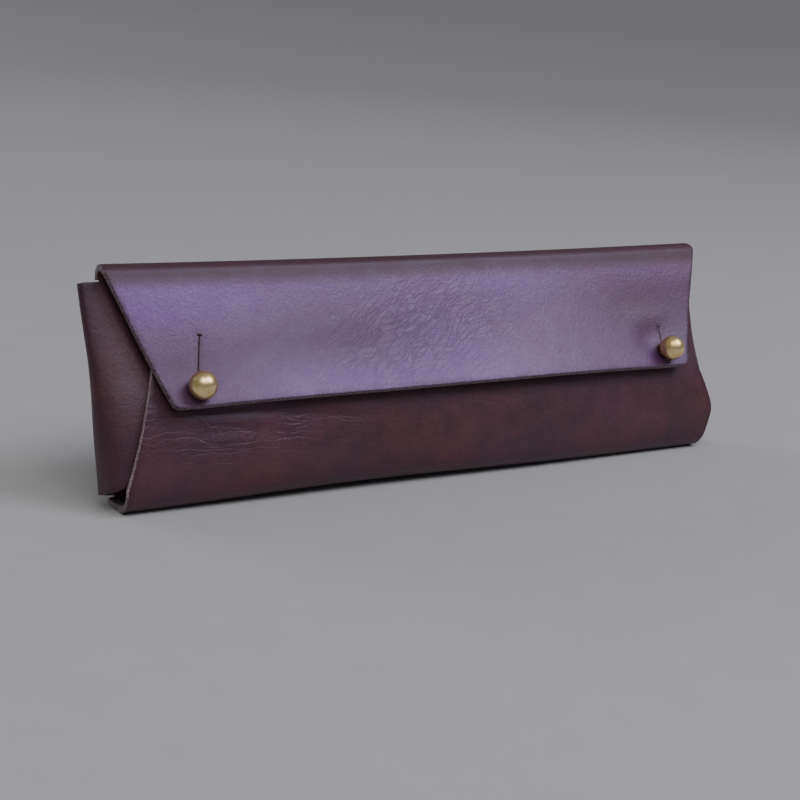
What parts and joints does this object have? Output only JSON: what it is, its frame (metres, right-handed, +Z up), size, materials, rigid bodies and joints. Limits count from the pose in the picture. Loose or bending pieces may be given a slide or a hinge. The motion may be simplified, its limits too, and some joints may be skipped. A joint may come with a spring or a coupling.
{
  "type": "soft pouch glasses case",
  "caption": "Slim folded-leather pouch for folded glasses, with tucked side gussets and a front flap that buttons over ball studs.",
  "frame": {"origin": "middle of the bounding box, on the surface that the pouch stands on", "axes": "+X along the pouch's length, -Y towards its front with the studs, +Z up; the pouch leans back 15 degrees"},
  "size_m": [0.2198, 0.0326, 0.0661],
  "materials": {
    "leather": "smooth waxed burgundy",
    "brass": "satin"
  },
  "bodies": {
    "pouch": {"back_panel": "leather", "bottom_fold": "leather", "front_panel": "leather", "left_gusset": "leather", "right_gusset": "leather", "left_stud_ball": "brass", "right_stud_ball": "brass", "left_stud_screw": "brass", "right_stud_screw": "brass"},
    "top_fold": {"top_fold": "leather"},
    "flap": {"flap": "leather"}
  },
  "joints": [
    {"name": "roll_hinge", "type": "hinge", "parent": "pouch", "child": "top_fold", "pos_m": [0, 0.01626, 0.06385], "axis": [-1, 0, 0], "range_deg": [0, 80]},
    {"name": "flap_hinge", "type": "hinge", "parent": "top_fold", "child": "flap", "pos_m": [0, 0.01153, 0.06591], "axis": [-1, 0, 0], "range_deg": [0, 80]}
  ],
  "couplings": [
    {"joint": "roll_hinge", "follows": "flap_hinge", "ratio": 1}
  ]
}
